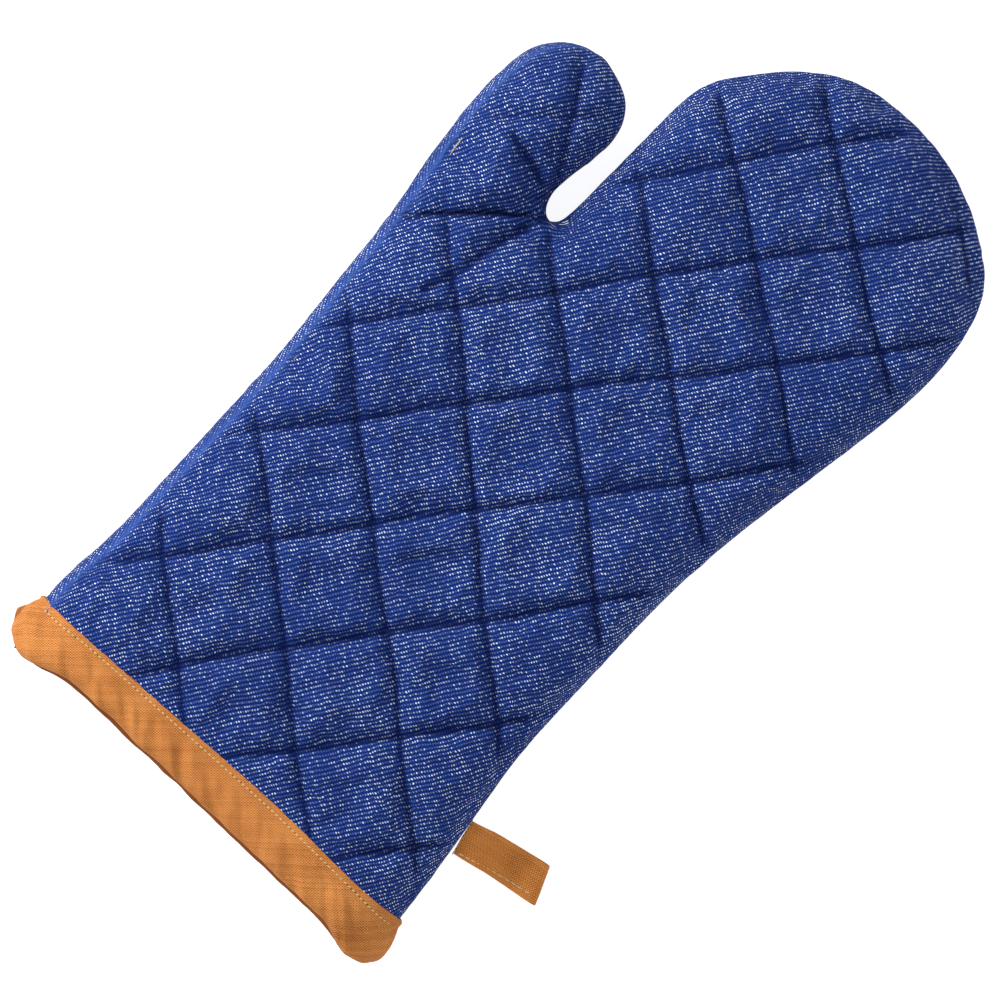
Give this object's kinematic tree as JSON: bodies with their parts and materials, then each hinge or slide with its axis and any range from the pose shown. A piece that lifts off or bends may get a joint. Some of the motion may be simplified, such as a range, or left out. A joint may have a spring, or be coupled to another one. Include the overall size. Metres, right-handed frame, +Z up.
{
  "type": "oven mitt",
  "caption": "Quilted oven mitt in blue cotton twill, with a tan bias-bound cuff and a hanging loop, lying flat.",
  "frame": {"origin": "on the surface that the mitt lies on, in the middle of its outline", "axes": "+Y from the cuff to the fingertips, +Z up out of the front panel, thumb at -X and hanging loop at +X"},
  "size_m": [0.1904, 0.33, 0.0362],
  "materials": {
    "denim_twill": "matte blue cotton twill with pale flecks",
    "bias_binding": "matte tan plain-weave cotton",
    "blue_thread": "matte blue cotton thread",
    "cream_thread": "satin cream thread",
    "wadding": "matte cotton wadding",
    "lining": "matte unbleached cotton"
  },
  "bodies": {
    "hand": {"front_shell": "denim_twill", "back_shell": "denim_twill", "front_wadding": "wadding", "back_wadding": "wadding", "front_lining": "lining", "back_lining": "lining", "front_quilting_steep": "blue_thread", "front_quilting_flat": "blue_thread", "back_quilting_steep": "blue_thread", "back_quilting_flat": "blue_thread", "side_seam": "blue_thread", "cuff_binding": "bias_binding", "cuff_topstitch": "cream_thread", "loop_bartack": "cream_thread"},
    "thumb": {"thumb_front_shell": "denim_twill", "thumb_back_shell": "denim_twill", "thumb_front_wadding": "wadding", "thumb_back_wadding": "wadding", "thumb_front_lining": "lining", "thumb_back_lining": "lining", "thumb_front_quilting": "blue_thread", "thumb_back_quilting": "blue_thread", "thumb_seam": "blue_thread"},
    "loop": {"hanging_loop": "bias_binding", "loop_stitch": "cream_thread"}
  },
  "joints": [
    {"name": "thumb_flex", "type": "hinge", "parent": "hand", "child": "thumb", "pos_m": [-0.0505, 0.063, 0.015], "axis": [0.7615, 0.6481, 0], "range_deg": [0, 40]},
    {"name": "loop_swing", "type": "hinge", "parent": "hand", "child": "loop", "pos_m": [0.0629, -0.11, 0.015], "axis": [0.1822, -0.9833, 0], "range_deg": [0, 40]}
  ]
}
